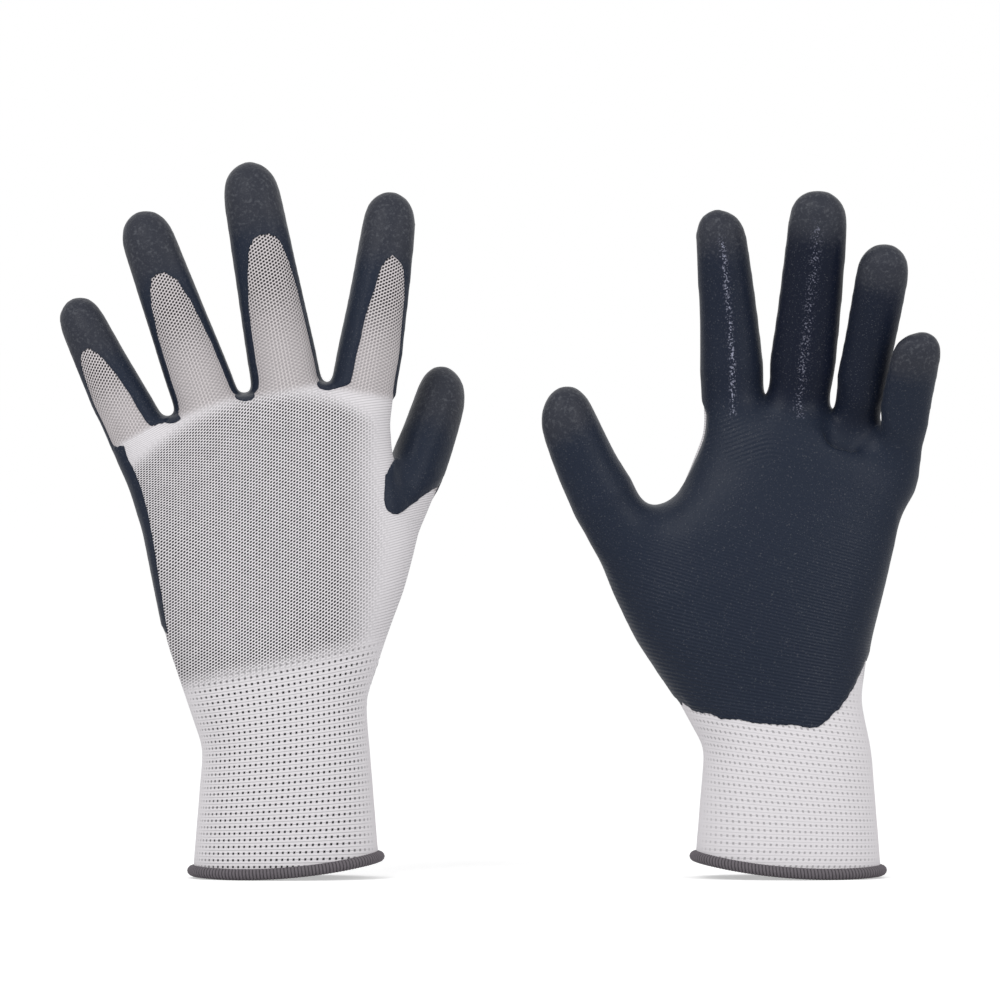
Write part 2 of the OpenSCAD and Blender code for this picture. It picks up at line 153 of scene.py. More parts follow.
class Digit:
    """Axis, folds and oval sections of one digit's knitted sleeve."""

    RING_GAP = 1.0
    LEAST_RING = 24
    # A ring that is narrower than this share of the ring below it belongs to the round end
    END_SHARE = 0.85
    OVAL_POINTS = 24

    def __init__(self, glove, name):
        self.name = name
        self.body = f"{glove}_{name}"
        base = JOINTS[f"{self.body}_base"]
        tip = JOINTS[f"{self.body}_tip"]
        self.foot = np.array(base["pos_m"]) * MM
        reach = np.array(tip["pos_m"]) * MM - self.foot
        self.across = -unit(base["axis"])
        self.up = unit(reach - self.across * (reach @ self.across))
        self.palmward = np.cross(self.up, self.across)
        self.fold = reach @ self.up
        self.base_points = node_points(f"{self.body}_base_liner")
        self.tip_points = node_points(f"{self.body}_tip_liner")
        self.read_sections(np.vstack([self.base_points, self.tip_points]))
        if self.body in LOOSE:
            self.base_points = self.loosened(self.base_points)
            self.tip_points = self.loosened(self.tip_points)
            self.read_sections(np.vstack([self.base_points, self.tip_points]))

    def axes(self, points):
        away = points - self.foot
        return away @ self.across, away @ self.palmward, away @ self.up

    def read_sections(self, points):
        side, deep, height = self.axes(points)
        order = np.argsort(height)
        breaks = np.nonzero(np.diff(height[order]) > self.RING_GAP)[0] + 1
        rows = []
        for ring in np.split(order, breaks):
            if len(ring) < self.LEAST_RING:
                continue
            low_side, high_side = side[ring].min(), side[ring].max()
            low_deep, high_deep = deep[ring].min(), deep[ring].max()
            half = (high_side - low_side) / 2
            if rows and half < self.END_SHARE * rows[-1][3]:
                break
            rows.append((height[ring].mean(), (low_side + high_side) / 2, (low_deep + high_deep) / 2,
                         half, (high_deep - low_deep) / 2))
        self.sections = np.array(rows).T
        self.tip_height = height.max()

    def section(self, height):
        """Middle and half size of the sections at some heights, to the thumb's side and to the palm side."""
        return [np.interp(height, self.sections[0], row) for row in self.sections[1:]]

    def loosened(self, points):
        """Points moved to both sides, as far as this digit's sleeve is wider than its solid."""
        side, _, height = self.axes(points)
        mid_side, _, half_side, _ = self.section(height)
        share = (side - mid_side) / half_side
        to_thumb, to_little = LOOSE[self.body]
        move = np.where(share > 0, to_thumb, to_little) * np.clip(share, -1, 1)
        move *= smoothstep(SLEEVE_FOOT, LOOSE_FROM.get(self.body, USUAL_FROM), height)
        out = FORWARD.get(self.body, 0) * np.clip(share, 0, 1)
        ahead = out * smoothstep(SLEEVE_FOOT, FORWARD_FROM, height)
        lean, straight = LEAN.get(self.body, (0, 1))
        fade = smoothstep(straight, straight - LEAN_FADE, height)
        move += lean * smoothstep(SLEEVE_FOOT, LEAN_FROM, height) * fade
        return points + move[:, None] * self.across + ahead[:, None] * self.palmward

    def oval(self, height, front=None):
        """Points round the digit's section at a height. Its palm side may be moved to a given front."""
        mid_side, mid_deep, half_side, half_deep = self.section(height)
        turn = np.linspace(0, 2 * math.pi, self.OVAL_POINTS, endpoint=False)
        ahead = half_deep if front is None else front - mid_deep
        side = mid_side + half_side * np.cos(turn)
        deep = mid_deep + np.where(np.sin(turn) > 0, ahead, half_deep) * np.sin(turn)
        return (self.foot + side[:, None] * self.across + deep[:, None] * self.palmward
                + height * self.up)

    def lowest_ring(self, points):
        height = self.axes(points)[2]
        return points[height < height.min() + self.RING_GAP / 2]

    def place(self, points):
        """Height up the digit, angle from its back to the thumb's side, and distance over its half size."""
        side, deep, height = self.axes(points)
        mid_side, mid_deep, half_side, half_deep = self.section(height)
        side = (side - mid_side) / half_side
        deep = (deep - mid_deep) / half_deep
        return height, np.arctan2(side, -deep), np.hypot(side, deep)

    def axis_point(self, height):
        return (self.foot + self.up * height) / MM


class Hand:
    """Directions, middle and digits of one glove."""

    def __init__(self, glove):
        self.name = glove
        self.across = -unit(JOINTS[f"{glove}_wrist"]["axis"])
        self.up = np.array([0.0, 0.0, 1.0])
        self.palmward = np.cross(self.up, self.across)
        low, high = (np.array(corner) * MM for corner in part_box(f"{glove}_cuff"))
        self.middle = (low + high) / 2
        self.middle[2] = 0
        self.half_width = (high - low)[0] / 2
        self.digits = [Digit(glove, name) for name in DIGITS]

    def place(self, points):
        """Reach towards the thumb, towards the palm side, and height above the table."""
        away = points - self.middle
        return away @ self.across, away @ self.palmward, away[:, 2]

    def hem_lift(self, points):
        """How far the hem is drawn up at each point. Its line rises towards the thumb's side."""
        share = np.clip(self.place(points)[0] / self.half_width, -HEM_OUT, HEM_OUT)
        return HEM_RISE * (share - HEM_LOW) ** 2


# The skin of a glove: one smooth surface over all its knitted solids

class Skin:
    """Triangles with a normal at each point."""

    def __init__(self, points, triangles):
        self.points = points
        self.triangles = triangles

    def sides(self):
        """The two ends of each side of each triangle."""
        return self.triangles[:, [0, 1, 1, 2, 2, 0]].reshape(-1, 2)

    def normals(self):
        corner = self.points[self.triangles]
        facing = np.cross(corner[:, 1] - corner[:, 0], corner[:, 2] - corner[:, 0])
        total = np.zeros_like(self.points)
        for k in range(3):
            for axis in range(3):
                total[:, axis] += np.bincount(self.triangles[:, k], facing[:, axis], len(total))
        return total / np.maximum(np.linalg.norm(total, axis=1), 1e-12)[:, None]

    def cut(self, field):
        """Splits each triangle that the field's zero line crosses. Returns the new skin and its field."""
        sign = field > 0
        pairs = np.sort(self.sides(), axis=1)
        crossed = np.unique(pairs[sign[pairs[:, 0]] != sign[pairs[:, 1]]], axis=0)
        share = field[crossed[:, 0]] / (field[crossed[:, 0]] - field[crossed[:, 1]])
        added = mix(self.points[crossed[:, 0]], self.points[crossed[:, 1]], share[:, None])
        count = len(self.points)
        key = crossed[:, 0] * count + crossed[:, 1]

        def between(a, b):
            return count + np.searchsorted(key, np.minimum(a, b) * count + np.maximum(a, b))

        inside = sign[self.triangles].sum(1)
        whole = self.triangles[(inside == 0) | (inside == 3)]
        parts = [whole]
        for lone in (1, 2):
            split = self.triangles[inside == lone]
            first = np.argmax(sign[split] == (lone == 1), axis=1)
            a, b, c = (split[np.arange(len(split)), (first + k) % 3] for k in range(3))
            ab, ac = between(a, b), between(a, c)
            parts += [np.c_[a, ab, ac], np.c_[ab, b, c], np.c_[ab, c, ac]]
        return (Skin(np.vstack([self.points, added]), np.vstack(parts)),
                np.concatenate([field, np.zeros(len(added))]))

    def kept(self, chosen):
        """The chosen triangles alone, with the points that they use."""
        used, numbers = np.unique(self.triangles[chosen], return_inverse=True)
        return Skin(self.points[used], numbers.reshape(-1, 3)), used


def spread(values, ends, share, turns):
    """Moves each point's value towards the mean of its neighbours, a number of times."""
    count = len(values)
    near = np.bincount(ends[0], minlength=count)
    for _ in range(turns):
        mean = np.empty_like(values)
        for axis in range(values.shape[1]):
            mean[:, axis] = np.bincount(ends[0], values[ends[1], axis], count) / near
        values = values + share * (mean - values)
    return values


def smoothed(points, ends, share, turns, loss_turns):
    """Smooths points and gives back the volume that this took from them."""
    smooth = spread(points, ends, share, turns)
    return smooth + spread(points - smooth, ends, 0.5, loss_turns)


def largest_part(count, edges):
    """True for the points of the largest connected part."""
    label = np.arange(count)
    while True:
        lowest = label.copy()
        np.minimum.at(lowest, edges[:, 0], label[edges[:, 1]])
        np.minimum.at(lowest, edges[:, 1], label[edges[:, 0]])
        lowest = lowest[lowest]
        if (lowest == label).all():
            break
        label = lowest
    return label == np.bincount(label).argmax()


# Ramps from the palm into the fingers: height of their foot, and of their top on some fingers and as a rule
RAMP_FOOT = -14.0
RAMP_TOP = {"glove_2_ring": 4.0, "glove_2_little": 4.0}
USUAL_TOP = 10.0
# Slabs that fill the hand beside the thumb, where there is no web: their levels and their share of its size
FILL_LEVELS = range(123, 164, 5)
FILL_SHARE = 0.95
# How far a digit's sleeve runs on below its lowest ring, inside the hand: for some digits, and as a rule
ROOT_RUN = {"thumb": 14.0, "index": 18.0, "little": 12.0}
SHORT_RUN = 8.0
# How far the webs lie below the fingers' lowest rings: before some fingers, and as a rule
WEB_DROP = {"glove_2_little": -4.0}
USUAL_DROP = 2.0
# How deep the web to the thumb is, how far the cuff runs on below the hem, and how far solids overlap
WEB_DEEP, CUFF_BELOW, OVERLAP = 6, 16, 2
# Size of a voxel, and height within which points of the cuff count as one level
VOXEL, LEVEL_GAP = 1.0, 0.1


def palm_front(finger, palm):
    """How far the palm stands out below a finger."""
    side, deep, height = finger.axes(palm)
    half_finger = 9
    under = (height > RAMP_FOOT - 4) & (height < -1) & (np.abs(side) < half_finger)
    return deep[under].max()


def palm_section(hand, level):
    """Points where the edges of the hand's liner cross a level, drawn in a little."""
    mesh = frame["nodes"][f"{hand.name}_palm_liner"].data
    points = node_points(f"{hand.name}_palm_liner")
    edges = rows_of(mesh.edges, "vertices", np.int64, 2)
    low, high = points[edges].transpose(1, 0, 2)
    share = (level - low[:, 2]) / np.where(low[:, 2] == high[:, 2], np.inf, high[:, 2] - low[:, 2])
    crossed = (share > 0) & (share < 1)
    section = mix(low[crossed], high[crossed], share[crossed, None])
    middle = (section.min(0) + section.max(0)) / 2
    return middle + (section - middle) * FILL_SHARE


def rough_form(hand):
    """All knitted solids of a glove as one closed mesh without inner walls, from voxels."""
    form = bmesh.new()
    form.from_mesh(frame["nodes"][f"{hand.name}_palm_liner"].data)

    def add_hull(*groups):
        made = [form.verts.new(point / MM) for point in np.vstack(groups)]
        bmesh.ops.convex_hull(form, input=made)

    palm = node_points(f"{hand.name}_palm_liner")
    cuff = node_points(f"{hand.name}_cuff")
    lowest = cuff[cuff[:, 2] < cuff[:, 2].min() + LEVEL_GAP]
    highest = cuff[cuff[:, 2] > cuff[:, 2].max() - LEVEL_GAP]
    add_hull(cuff, lowest - [0, 0, CUFF_BELOW], highest + [0, 0, OVERLAP])
    rings = [digit.lowest_ring(digit.base_points) for digit in hand.digits]
    for digit, ring in zip(hand.digits, rings):
        add_hull(digit.base_points, ring - ROOT_RUN.get(digit.name, SHORT_RUN) * digit.up)
        add_hull(digit.tip_points, digit.lowest_ring(digit.tip_points) - OVERLAP * digit.up)
    fingers = hand.digits[1:]
    feet = [finger.oval(RAMP_FOOT, palm_front(finger, palm)) for finger in fingers]
    for finger, foot in zip(fingers, feet):
        add_hull(finger.oval(RAMP_TOP.get(finger.body, USUAL_TOP)), foot)
    for k in range(len(fingers) - 1):
        drop = WEB_DROP.get(fingers[k + 1].body, USUAL_DROP)
        lowered = [ring - drop * finger.up for finger, ring in zip(fingers[k:k + 2], rings[k + 1:])]
        add_hull(*lowered, *feet[k:k + 2])
    if hand.name in THUMB_WEB:
        thumb, index = hand.digits[:2]
        raised = [rings[0] + rise * thumb.up for rise in (0, -SHORT_RUN, OVERLAP)]
        lowered = rings[1] - THUMB_WEB[hand.name] * index.up
        add_hull(*raised, lowered, lowered - WEB_DEEP * index.up)
    else:
        levels = [palm_section(hand, level) for level in FILL_LEVELS]
        for low, high in zip(levels, levels[1:]):
            add_hull(low, high)
    mesh = bpy.data.meshes.new("rough_form")
    form.to_mesh(mesh)
    form.free()
    cast = add_object("rough_form", mesh)
    remesh = cast.modifiers.new("voxels", "REMESH")
    remesh.mode = "VOXEL"
    remesh.voxel_size = VOXEL / MM
    made = cast.evaluated_get(bpy.context.evaluated_depsgraph_get()).to_mesh()
    made.calc_loop_triangles()
    points = rows_of(made.vertices, "co") * MM
    triangles = rows_of(made.loop_triangles, "vertices", np.int64)
    edges = rows_of(made.edges, "vertices", np.int64, 2)
    bpy.data.objects.remove(cast)
    bpy.data.meshes.remove(mesh)
    return points, triangles, edges


# How often the skin and then its loss of volume are smoothed, everywhere and at the digits' roots
SKIN_TURNS, SKIN_LOSS_TURNS = 60, 220
ROOT_TURNS, ROOT_LOSS_TURNS = 200, 300
# How strongly a crotch and the root of a digit that stands alone are smoothed
CROTCH_SHARE, ALONE_SHARE = 0.2, 0.35


def soften_roots(hand, points, ends):
    """Rounds the steps where the digits leave the hand, most on the palm side, and keeps the volume."""
    along, angle, reach = np.array([digit.place(points) for digit in hand.digits]).transpose(1, 0, 2)
    near = smoothstep(-30, -16, along) * smoothstep(2.2, 1.6, reach)
    crotch = near * smoothstep(4, -4, along)
    lower = near * smoothstep(16, 6, along)
    palm = lower * smoothstep(0, 0.5, -np.cos(angle))
    alone = lower * smoothstep(2.2, 2.8, np.sort(np.where(along > -30, reach, 9), axis=0)[1])
    mask = np.maximum(np.maximum(CROTCH_SHARE * crotch, palm), ALONE_SHARE * alone).max(0)
    return smoothed(points, ends, 0.5 * mask[:, None], ROOT_TURNS, ROOT_LOSS_TURNS)


def press_pockets(hand, points, ends):
    """Presses the palm side in at the roots of some fingers, steeply at the lower edge, and smooths it."""
    side, deep, height = hand.place(points)
    pressed = np.zeros(len(points))
    near = np.zeros(len(points))
    for at_side, at_height, half, depth in POCKETS.get(hand.name, ()):
        up = height - at_height
        run = np.where(up > 0, POCKET_RISE, POCKET_FALL)
        share = np.exp(-((side - at_side) / half) ** 2 - (up / run) ** 2)
        pressed = np.maximum(pressed, depth * share)
        area = ((side - at_side) / POCKET_WIDE) ** 4 + (up / POCKET_HIGH) ** 4
        near = np.maximum(near, np.exp(-area))
    points = points - (pressed * smoothstep(-2, 4, deep))[:, None] * hand.palmward
    share = 0.5 * near * smoothstep(-6, -1, deep)
    return spread(points, ends, share[:, None], POCKET_TURNS)


@lru_cache(maxsize=None)
def skin_of(glove):
    """The smooth outer surface of a glove's knit, open at the hem."""
    hand = Hand(glove)
    points, triangles, edges = rough_form(hand)
    outer = largest_part(len(points), edges)
    number = np.cumsum(outer) - 1
    points = points[outer]
    triangles = number[triangles[outer[triangles[:, 0]]]]
    edges = number[edges[outer[edges[:, 0]]]]
    ends = np.vstack([edges, edges[:, ::-1]]).T
    points = smoothed(points, ends, 0.5, SKIN_TURNS, SKIN_LOSS_TURNS)
    skin = Skin(press_pockets(hand, soften_roots(hand, points, ends), ends), triangles)
    skin, field = skin.cut(skin.points[:, 2] - MOUTH - hand.hem_lift(skin.points))
    above = (field[skin.triangles] >= 0).all(1)
    return hand, skin.kept(above)[0]


# Where each point of a skin lies on its hand, and where the dip reached

class Layout:
    """Places of a skin's points on the hand and on the digits."""

    NEAR = 1.3

    def __init__(self, hand, skin):
        self.hand = hand
        self.skin = skin
        self.side, self.deep, self.height = hand.place(skin.points)
        placed = np.array([digit.place(skin.points) for digit in hand.digits])
        self.along, self.angle, self.reach = placed[:, 0], placed[:, 1], placed[:, 2]
        reach = np.where(self.along > -2, self.reach, np.inf)
        self.near = reach.argmin(0)
        row = np.arange(len(skin.points))
        self.near_reach = reach[self.near, row]
        self.near_along = self.along[self.near, row]
        self.near_angle = self.angle[self.near, row]
        self.digit = np.where(self.near_reach < self.NEAR, self.near, -1)

    def find_webs(self):
        """Height up each digit where it leaves its neighbours, and the middle of each web between fingers."""
        pairs = self.skin.sides()
        pairs = pairs[self.digit[pairs[:, 0]] != self.digit[pairs[:, 1]]]
        ends = pairs.ravel()
        saddles = []
        for i in range(len(DIGITS)):
            mine = ends[self.digit[ends] == i]
            saddles.append(self.along[i][mine].max())
        webs = []
        for i in range(1, len(DIGITS) - 1):
            met = pairs[(self.digit[pairs].min(1) == i) & (self.digit[pairs].max(1) == i + 1)].ravel()
            crown = met[self.height[met] > self.height[met].max() - 1.5]
            webs.append((self.side[crown].mean(), self.height[crown].mean()))
        return np.array(saddles), webs

    def digit_share(self, saddles, lead=6, run=8):
        """From 0 on the hand to 1 on a digit."""
        start = saddles[self.near] - lead
        return smoothstep(0, run, self.near_along - start) * smoothstep(1.5, 1.2, self.near_reach)


# Bare knit on the back of each digit: how far up it runs, its half width and its turn to the thumb's side
WINDOW_TOP = (0, 49, 56, 50, 33.5)
WINDOW_HALF = (60, 51, 64, 60.5, 53.5)
WINDOW_TURN = (0, 26, 11, -1.5, -25.5)
# Above 2, the arch at the top of the bare knit is fuller than an oval
WINDOW_POWER = 2.6
# The rim of the coating on the palm, as reach to the thumb's side and height
RIM_SIDE = (-60, -28.5, -23.8, -18.1, -11.2, 0.3, 9.6, 23.3, 35.9, 39.2, 60)
RIM_HEIGHT = (98, 79.6, 69.8, 60.5, 55.4, 55.1, 56.5, 58.3, 61.2, 64.1, 70)
# The coating's edge on the back is turned by this angle about the hand's length
COAT_TURN = math.radians(6.65)
# How steep the skin is at the rim, and the depth of a whole arch's size and of a digit without bare knit
RIM_SLOPE, ARCH_DEPTH, FULL_DEPTH = 0.85, 10, 8
# Waves of the ragged edge, as strength, length and seed, and their share above the rim
RAGGED = ((0.4, 9, 3), (0.2, 2.6, 4))
CALM = 0.4
# Coating in the webs between the fingers: its half height, and how much wider than high it is
WEB_HALF, WEB_FLATNESS = 2.0, 1.8
# How much further to the palm side the coating ends on the thumb's side of a hand
THUMB_EDGE = {"glove_1": 9, "glove_2": -5}
# Edge of the coating across the back of the thumb: two points on it, its inner side, and its round corner
CAP_LOW, CAP_HIGH = np.array([36.8, 128.5]), np.array([53.5, 140.5])
CAP_INNER, CAP_ROUND = 35.5, 7.0
# The cap's upper end beside the thumb, and how steeply it falls towards the hand
CAP_END, CAP_FALL = np.array([38.4, 149.0]), 1.5
# Run over which the cap ends there, and the depth that it loses
CAP_FADE, CAP_LOSS = 4, 20


def thumb_cap(layout):
    """How far inside the coating a point on the back of the thumb lies."""
    run = unit(CAP_HIGH - CAP_LOW)
    above = (layout.height - CAP_LOW[1]) * run[0] - (layout.side - CAP_LOW[0]) * run[1]
    inside = layout.side - CAP_INNER
    capped = CAP_ROUND - np.hypot(np.maximum(CAP_ROUND - above, 0), np.maximum(CAP_ROUND - inside, 0))
    over = layout.height - CAP_END[1] + CAP_FALL * (CAP_END[0] - layout.side)
    return capped - CAP_LOSS * smoothstep(1.15, 1.5, layout.reach[0]) * smoothstep(0, CAP_FADE, over)


def dip_depth(layout, saddles, webs):
    """About how far inside the dipped area a point lies, in millimetres, and below 0 outside it."""
    palm_side = math.cos(COAT_TURN) * layout.deep - math.sin(COAT_TURN) * layout.side
    above_rim = (layout.height - np.interp(layout.side, RIM_SIDE, RIM_HEIGHT)) * RIM_SLOPE
    palm_side = palm_side - THUMB_EDGE[layout.hand.name] * smoothstep(30, 48, layout.side)
    on_hand = np.minimum(palm_side, above_rim)
    columns = (WINDOW_TOP, WINDOW_HALF, WINDOW_TURN)
    top, half, turn = (np.array(column, float)[layout.near] for column in columns)
    turned = np.abs(np.angle(np.exp(1j * (layout.near_angle - np.radians(turn)))))
    up = np.maximum(layout.near_along, 0) / np.maximum(top, 1)
    oval = ((turned / np.radians(half)) ** WINDOW_POWER + up ** WINDOW_POWER) ** (1 / WINDOW_POWER)
    on_digit = np.where(top > 0, (oval - 1) * ARCH_DEPTH, FULL_DEPTH)
    if layout.hand.name == "glove_1":
        on_hand = np.maximum(on_hand, thumb_cap(layout))
        on_digit = np.where(layout.near == 0, on_hand, on_digit)
    depth = mix(on_hand, on_digit, layout.digit_share(saddles))
    for side, height in webs:
        away = np.hypot((layout.side - side) / WEB_FLATNESS, layout.height - height)
        depth = np.maximum(depth, WEB_HALF - away)
    ragged = sum(strength * waves(layout.skin.points, length, seed) for strength, length, seed in RAGGED)
    return depth + ragged * mix(1, CALM, smoothstep(70, 110, layout.height))


@lru_cache(maxsize=None)
def layout_of(glove):
    """The glove's layout with its skin cut along the dip's edge, the dip's depth, and the digits' saddles."""
    hand, skin = skin_of(glove)
    layout = Layout(hand, skin)
    saddles, webs = layout.find_webs()
    skin, depth = skin.cut(dip_depth(layout, saddles, webs))
    layout = Layout(hand, skin)
    layout.depth = depth
    layout.saddles = saddles
    layout.share = layout.digit_share(saddles, 3, 4)
    layout.maps = knit_maps(layout)
    return layout


# Height where the cuff ends and the palm begins
WRIST_CUT = 54.0
# How far above its start a digit's base bends, over which run, and half the run of the middle fold
BASE_LEAD, BASE_RUN, TIP_RUN = 2.5, 12.0, 7.0


def fold_plan(digit, saddle):
    """Heights on a digit: start, bend's foot and top and end of its base, bend's foot and top of its tip."""
    start = saddle + 0.5
    tip_from = digit.fold - TIP_RUN
    bend_from = start + BASE_LEAD
    bend_to = min(bend_from + BASE_RUN, tip_from - 0.5)
    return start, bend_from, bend_to, (bend_to + tip_from) / 2, tip_from, digit.fold + TIP_RUN


def part_names(layout):
    """For each triangle, the part of the glove that it belongs to: cuff, palm, or a digit's base or tip."""
    triangles = layout.skin.triangles
    parts = np.where(layout.height[triangles].mean(1) < WRIST_CUT, 0, 1)
    names = ["cuff", "palm"]
    for i, digit in enumerate(layout.hand.digits):
        start, _, _, split, _, _ = fold_plan(digit, layout.saddles[i])
        mine = ((layout.digit == i) & (layout.along[i] > start))[triangles].all(1)
        upper = layout.along[i][triangles].mean(1) > split
        parts[mine & ~upper] = len(names)
        parts[mine & upper] = len(names) + 1
        names += [f"{digit.name}_base", f"{digit.name}_tip"]
    return parts, names


def join_frame(piece, layout, part):
    """Places a piece: the palm's piece rides on the palm's body, and any other piece keeps its place in the
    world.
    """
    glove = layout.hand.name
    if part == "palm":
        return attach(piece, f"{glove}_palm")
    if part == "cuff":
        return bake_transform(piece)
    name, level = part.split("_")
    number = DIGITS.index(name)
    digit = layout.hand.digits[number]
    _, base_from, base_to, _, tip_from, tip_to = fold_plan(digit, layout.saddles[number])
    if level == "base":
        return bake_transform(piece, f"{glove}_palm", f"{digit.body}_base",
                        start=digit.axis_point(base_from), end=digit.axis_point(base_to))
    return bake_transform(piece, f"{digit.body}_base", f"{digit.body}_tip",
                    start=digit.axis_point(tip_from), end=digit.axis_point(tip_to))


# Mesh objects from arrays

def make_piece(name, material, points, triangles, normals=None, maps=None, values=None):
    """A smooth mesh object, with its knit maps per corner and its values per point."""
    mesh = bpy.data.meshes.new(name)
    mesh.vertices.add(len(points))
    mesh.vertices.foreach_set("co", (points / MM).astype(np.float32).ravel())
    mesh.loops.add(triangles.size)
    mesh.loops.foreach_set("vertex_index", triangles.astype(np.int32).ravel())
    mesh.polygons.add(len(triangles))
    mesh.polygons.foreach_set("loop_start", np.arange(0, triangles.size, 3, dtype=np.int32))
    mesh.update(calc_edges=True)
    mesh.validate()
    mesh.shade_smooth()
    for title, corners in (maps or {}).items():
        layer = mesh.uv_layers.new(name=title)
        layer.uv.foreach_set("vector", corners.astype(np.float32).ravel())
    for title, column in (values or {}).items():
        attribute = mesh.attributes.new(title, "FLOAT", "POINT")
        attribute.data.foreach_set("value", column.astype(np.float32))
    if normals is not None:
        mesh.normals_split_custom_set_from_vertices(normals.tolist())
    mesh.materials.append(material)
    return add_object(name, mesh)


def make_part(name, material, skin, chosen, normals, maps, values):
    """The chosen triangles of a skin as a piece, with their normals, maps and values."""
    part, used = skin.kept(chosen)
    return make_piece(name, material, part.points, part.triangles, normals[used],
                      {title: table[chosen] for title, table in maps.items()},
                      {title: column[used] for title, column in values.items()})


# Knit of the hand, of the digits and of the ribs: size of a wale or number of wales, and height of a course
WALE, COURSE = 2.08, 1.2
WALES_ROUND_DIGIT, DIGIT_COURSE = 30, 1.25
RIBS_ROUND, CUFF_COURSE = 84, 1.25
# Where the ribs end on the hand's middle, over which run they fade, and how their end is tilted
RIB_TOP, RIB_FADE, RIB_TILT = 78.0, 5, 0.22
# Top and curve of the area with open knit on the back, and how far that area turns to the thumb's side
DOME_TOP, DOME_CURVE, OPEN_LEAN = 179, 0.0088, 0.4
# How dark the dashes in the ribs are
DASH_SHADE = {"glove_1": 1.0, "glove_2": 0.48}
# How the courses slope across the hand at some heights, and how high and how wide they arch at the fingers
SLOPE_LEVELS, SLOPES = (0, 50, 110), (0, 0.12, 0.28)
COURSE_ARCH, COURSE_MIDDLE, COURSE_HALF = 8, 10, 45
# How square the hand's sections are, height of the rows that measure them, and points that a row needs
FULLNESS, ROW_STEP, ROW_LEAST = 1.2, 4.0, 150


def bent(value, power):
    """A power that keeps the sign."""
    return np.sign(value) * np.abs(value) ** power


def knit_maps(layout):
    """Wale and course numbers of the hand's, ribs' and digits' knit, at each corner of each triangle."""
    triangles = layout.skin.triangles
    root = (layout.reach[0] < 1.35) & (layout.along[0] > -26)
    body = (layout.digit < 0) & ~root
    level = np.floor(layout.height / ROW_STEP).astype(int)
    rows = []
    for k in range(level.max() + 1):
        ring = body & (level == k)
        if ring.sum() > ROW_LEAST:
            rows.append(((k + 0.5) * ROW_STEP, layout.side[ring].min(), layout.side[ring].max(),
                         layout.deep[ring].min(), layout.deep[ring].max()))
    at, *edges = np.array(rows).T
    low_side, high_side, low_deep, high_deep = (
        np.polyval(np.polyfit(at, edge, 4), np.clip(layout.height, at[0], at[-1])) for edge in edges)
    across = (layout.side - (low_side + high_side) / 2) / ((high_side - low_side) / 2)
    deep = (layout.deep - (low_deep + high_deep) / 2) / ((high_deep - low_deep) / 2)
    turn = np.arctan2(bent(deep, FULLNESS), bent(across, FULLNESS))
    flatness = (high_deep - low_deep) / (high_side - low_side)
    layout.turn = turn
    slope = np.interp(layout.height, SLOPE_LEVELS, SLOPES)
    arch = COURSE_ARCH * smoothstep(120, 170, layout.height)
    bend = arch * ((layout.side - COURSE_MIDDLE) / COURSE_HALF) ** 2
    level = layout.height - slope * layout.side + bend
    digit_wale = WALES_ROUND_DIGIT * (layout.near_angle / (2 * math.pi) + 0.5)
    digit_course = layout.near_along / DIGIT_COURSE
    rib = RIBS_ROUND * arc_share(turn, flatness)
    return {
        "hand_knit": corner_map(triangles, layout.side / WALE, level / COURSE, math.inf),
        "rib_knit": corner_map(triangles, rib, level / CUFF_COURSE, RIBS_ROUND),
        "digit_knit": corner_map(triangles, digit_wale, digit_course, WALES_ROUND_DIGIT),
    }


def arc_share(turn, flatness):
    """Share of the way round a rounded oval section, from its little finger edge, at an angle."""
    angles = np.linspace(-math.pi, math.pi, 361)
    levels = np.linspace(0.2, 1.0, 9)
    table = []
    for ratio in levels:
        x = bent(np.cos(angles), 1 / FULLNESS)
        y = ratio * bent(np.sin(angles), 1 / FULLNESS)
        run = np.concatenate([[0], np.cumsum(np.hypot(np.diff(x), np.diff(y)))])
        table.append(run / run[-1])
    table = np.array(table)
    row = np.clip((flatness - levels[0]) / (levels[1] - levels[0]), 0, len(levels) - 1.001)
    low = row.astype(int)
    column = (turn + math.pi) / (angles[1] - angles[0])
    left = np.clip(column.astype(int), 0, len(angles) - 2)
    part = column - left
    first = mix(table[low, left], table[low, left + 1], part)
    second = mix(table[low + 1, left], table[low + 1, left + 1], part)
    return mix(first, second, row - low)


def corner_map(triangles, across, along, around):
    """Two numbers per corner. A triangle that crosses the seam carries on past the last wale."""
    corner = across[triangles]
    wrapped = (corner.max(1) - corner.min(1)) > around / 2
    corner[wrapped] += np.where(corner[wrapped] < around / 2, around, 0)
    return np.stack([corner, along[triangles]], axis=2)


# Shader maths as expressions

class Field:
    """A value in a shader. Arithmetic on it adds Math nodes."""

    def __init__(self, finish, socket):
        self.finish = finish
        self.socket = socket

    def __add__(self, other):
        return self.finish.maths("ADD", self, other)

    def __sub__(self, other):
        return self.finish.maths("SUBTRACT", self, other)

    def __rsub__(self, other):
        return self.finish.maths("SUBTRACT", other, self)

    def __mul__(self, other):
        return self.finish.maths("MULTIPLY", self, other)

    __radd__ = __add__
    __rmul__ = __mul__


